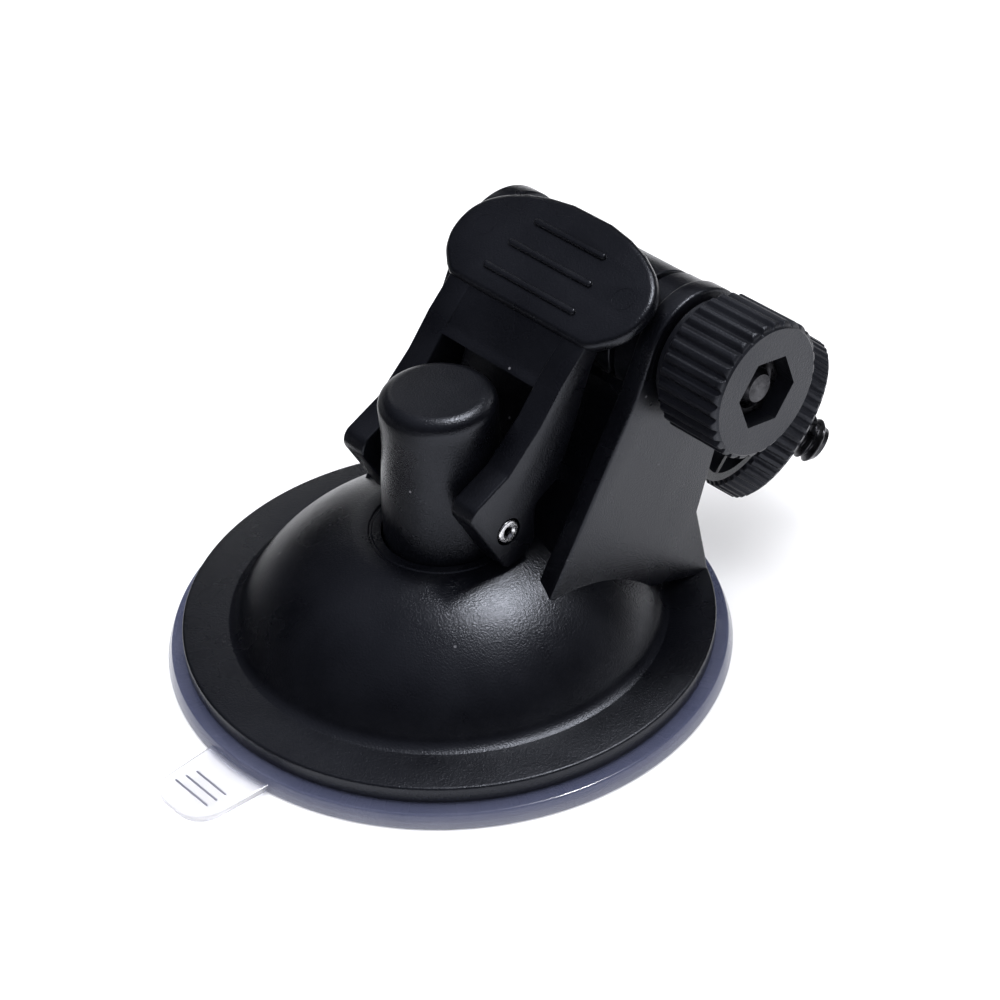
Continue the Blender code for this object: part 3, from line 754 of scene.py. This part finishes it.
def floor():
    """A plain pale floor."""
    bm = bmesh.new()
    bmesh.ops.create_grid(bm, x_segments=2, y_segments=2, size=2500.0)
    item = finish_mesh("floor", bm, None)
    mat = bpy.data.materials.new("floor")
    mat.use_nodes = True
    make = node_maker(mat)
    shader = mat.node_tree.nodes["Principled BSDF"]
    place = make("ShaderNodeTexCoord").outputs["Object"]
    cloud = make("ShaderNodeTexNoise", {"Vector": place, "Scale": 6.0})
    mat.node_tree.links.new(ramp(make, cloud.outputs["Fac"], (0.90, 0.90, 0.915), (0.92, 0.92, 0.93)),
                            shader.inputs["Base Color"])
    shader.inputs["Roughness"].default_value = 0.6
    item.data.materials.append(mat)


def area_light(name, place, size, power):
    """A rectangular light aimed at the middle of the mount."""
    data = bpy.data.lights.new(name, "AREA")
    data.shape = "RECTANGLE"
    data.size = size[0] * MM
    data.size_y = size[1] * MM
    data.energy = power
    item = bpy.data.objects.new(name, data)
    bpy.context.collection.objects.link(item)
    target = Vector((0.0, 12.0, 22.0)) * MM
    item.location = Vector(place) * MM
    item.rotation_euler = (target - item.location).to_track_quat("-Z", "Y").to_euler()
    return item


def fill_light(name, direction, strength):
    """A very soft light that lifts the floor without a reflection of its own."""
    data = bpy.data.lights.new(name, "SUN")
    data.energy = strength
    data.angle = math.radians(170.0)
    item = bpy.data.objects.new(name, data)
    item.rotation_euler = Vector(direction).to_track_quat("Z", "Y").to_euler()
    item.visible_glossy = False
    bpy.context.collection.objects.link(item)


def dark_card():
    """A dark card on the floor at the left, which shows only in reflections."""
    bm = bmesh.new()
    bmesh.ops.create_grid(bm, x_segments=1, y_segments=1, size=300.0)
    turn = Matrix.Rotation(math.radians(CAMERA_AZIMUTH), 4, "Z")
    bm.transform(turn @ Matrix.Translation((-345.0, 0.0, 0.05)))
    item = finish_mesh("dark_card", bm, None)
    mat = bpy.data.materials.new("dark_card")
    mat.use_nodes = True
    mat.node_tree.nodes["Principled BSDF"].inputs["Base Color"].default_value = (0.02, 0.02, 0.02, 1.0)
    item.data.materials.append(mat)
    item.visible_camera = False
    item.visible_diffuse = False
    item.visible_transmission = False
    item.visible_shadow = False


def studio():
    """A dark horizon under a soft sky, a key light for gloss, and a fill that lifts the floor."""
    world = bpy.data.worlds.new("studio")
    bpy.context.scene.world = world
    world.use_nodes = True
    make = node_maker(world)
    sky = world.node_tree.nodes["Background"]
    place = make("ShaderNodeTexCoord").outputs["Generated"]
    height = make("ShaderNodeSeparateXYZ", {"Vector": place}).outputs["Z"]
    glow = ramp(make, height, (0.008, 0.008, 0.010), (0.32, 0.33, 0.39), 0.45, 0.85)
    world.node_tree.links.new(glow, sky.inputs["Color"])
    sky.inputs["Strength"].default_value = 1.0
    bpy.context.scene.view_settings.view_transform = "Standard"
    fill_light("overhead", (0.0, 0.0, 1.0), 5.0)
    key_place = (50.0, 165.0, 500.0)
    key = area_light("key", key_place, (90.0, 56.0), 2.4)
    key.visible_diffuse = False
    area_light("key_soft", key_place, (240.0, 200.0), 0.3)
    dark_card()
    area_light("left_rim", (-360.0, 200.0, 160.0), (60.0, 200.0), 0.06)


def camera():
    azimuth = math.radians(CAMERA_AZIMUTH)
    elevation = math.radians(CAMERA_ELEVATION)
    roll = math.radians(CAMERA_ROLL)
    level_right = Vector((math.cos(azimuth), math.sin(azimuth), 0.0))
    back = Vector((math.sin(azimuth) * math.cos(elevation), -math.cos(azimuth) * math.cos(elevation),
                   math.sin(elevation)))
    level_up = back.cross(level_right)
    right = level_right * math.cos(roll) + level_up * math.sin(roll)
    up = level_up * math.cos(roll) - level_right * math.sin(roll)
    eye = Vector((0.0, 0.0, FLANGE_TOP))
    eye += right * CAMERA_RIGHT + up * CAMERA_UP + back * CAMERA_BACK
    data = bpy.data.cameras.new("camera")
    data.lens = CAMERA_LENS
    data.sensor_width = 36.0
    data.clip_start = 0.01
    item = bpy.data.objects.new("camera", data)
    bpy.context.collection.objects.link(item)
    turn = Matrix((right, up, back)).transposed().to_4x4()
    item.matrix_world = Matrix.Translation(eye * MM) @ turn
    bpy.context.scene.camera = item


def main():
    for build in (cup, housing, post, lever, pin, bolt, nut, knob, head, ball, screw, wheel):
        build()
    carry_over()
    floor()
    studio()
    camera()


main()
